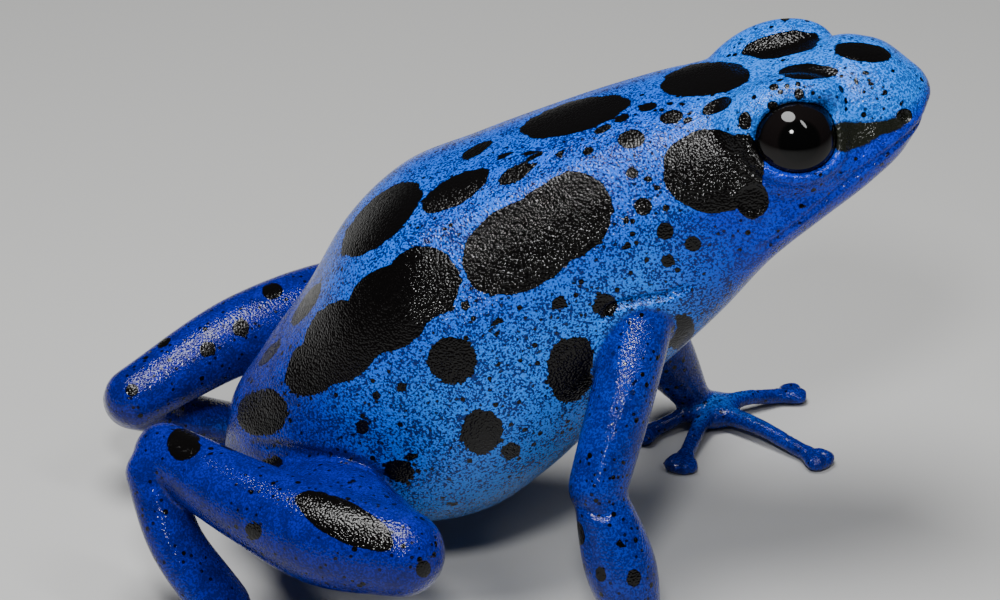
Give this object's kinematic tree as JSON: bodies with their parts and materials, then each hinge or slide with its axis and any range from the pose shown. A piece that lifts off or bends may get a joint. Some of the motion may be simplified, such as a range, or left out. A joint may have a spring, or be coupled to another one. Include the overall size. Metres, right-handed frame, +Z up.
{
  "type": "blue poison dart frog",
  "caption": "Small smooth-skinned blue frog with black spots, sitting on four feet with its head and chest raised.",
  "frame": {"origin": "on the floor, under the middle of the whole frog's box", "axes": "+X towards the snout, +Y to the frog's left, +Z up"},
  "size_m": [0.0465, 0.038, 0.0314],
  "materials": {
    "sky_blue_skin": "moist, fine-grained skin with a wet sheen, bright blue with black spots",
    "deep_blue_skin": "moist, fine-grained skin with a wet sheen, deep ultramarine with dark spots",
    "eye_black": "wet and glossy, near black"
  },
  "bodies": {
    "root": {"head": "sky_blue_skin", "trunk": "sky_blue_skin", "eye_right": "eye_black", "eye_left": "eye_black", "upper_arm_right": "sky_blue_skin", "upper_arm_left": "sky_blue_skin", "forearm_right": "sky_blue_skin", "forearm_left": "sky_blue_skin", "hand_right": "sky_blue_skin", "hand_left": "sky_blue_skin", "thigh_right": "deep_blue_skin", "thigh_left": "deep_blue_skin", "shank_right": "deep_blue_skin", "shank_left": "deep_blue_skin", "tarsus_right": "deep_blue_skin", "tarsus_left": "deep_blue_skin", "foot_right": "deep_blue_skin", "foot_left": "deep_blue_skin"}
  },
  "joints": []
}
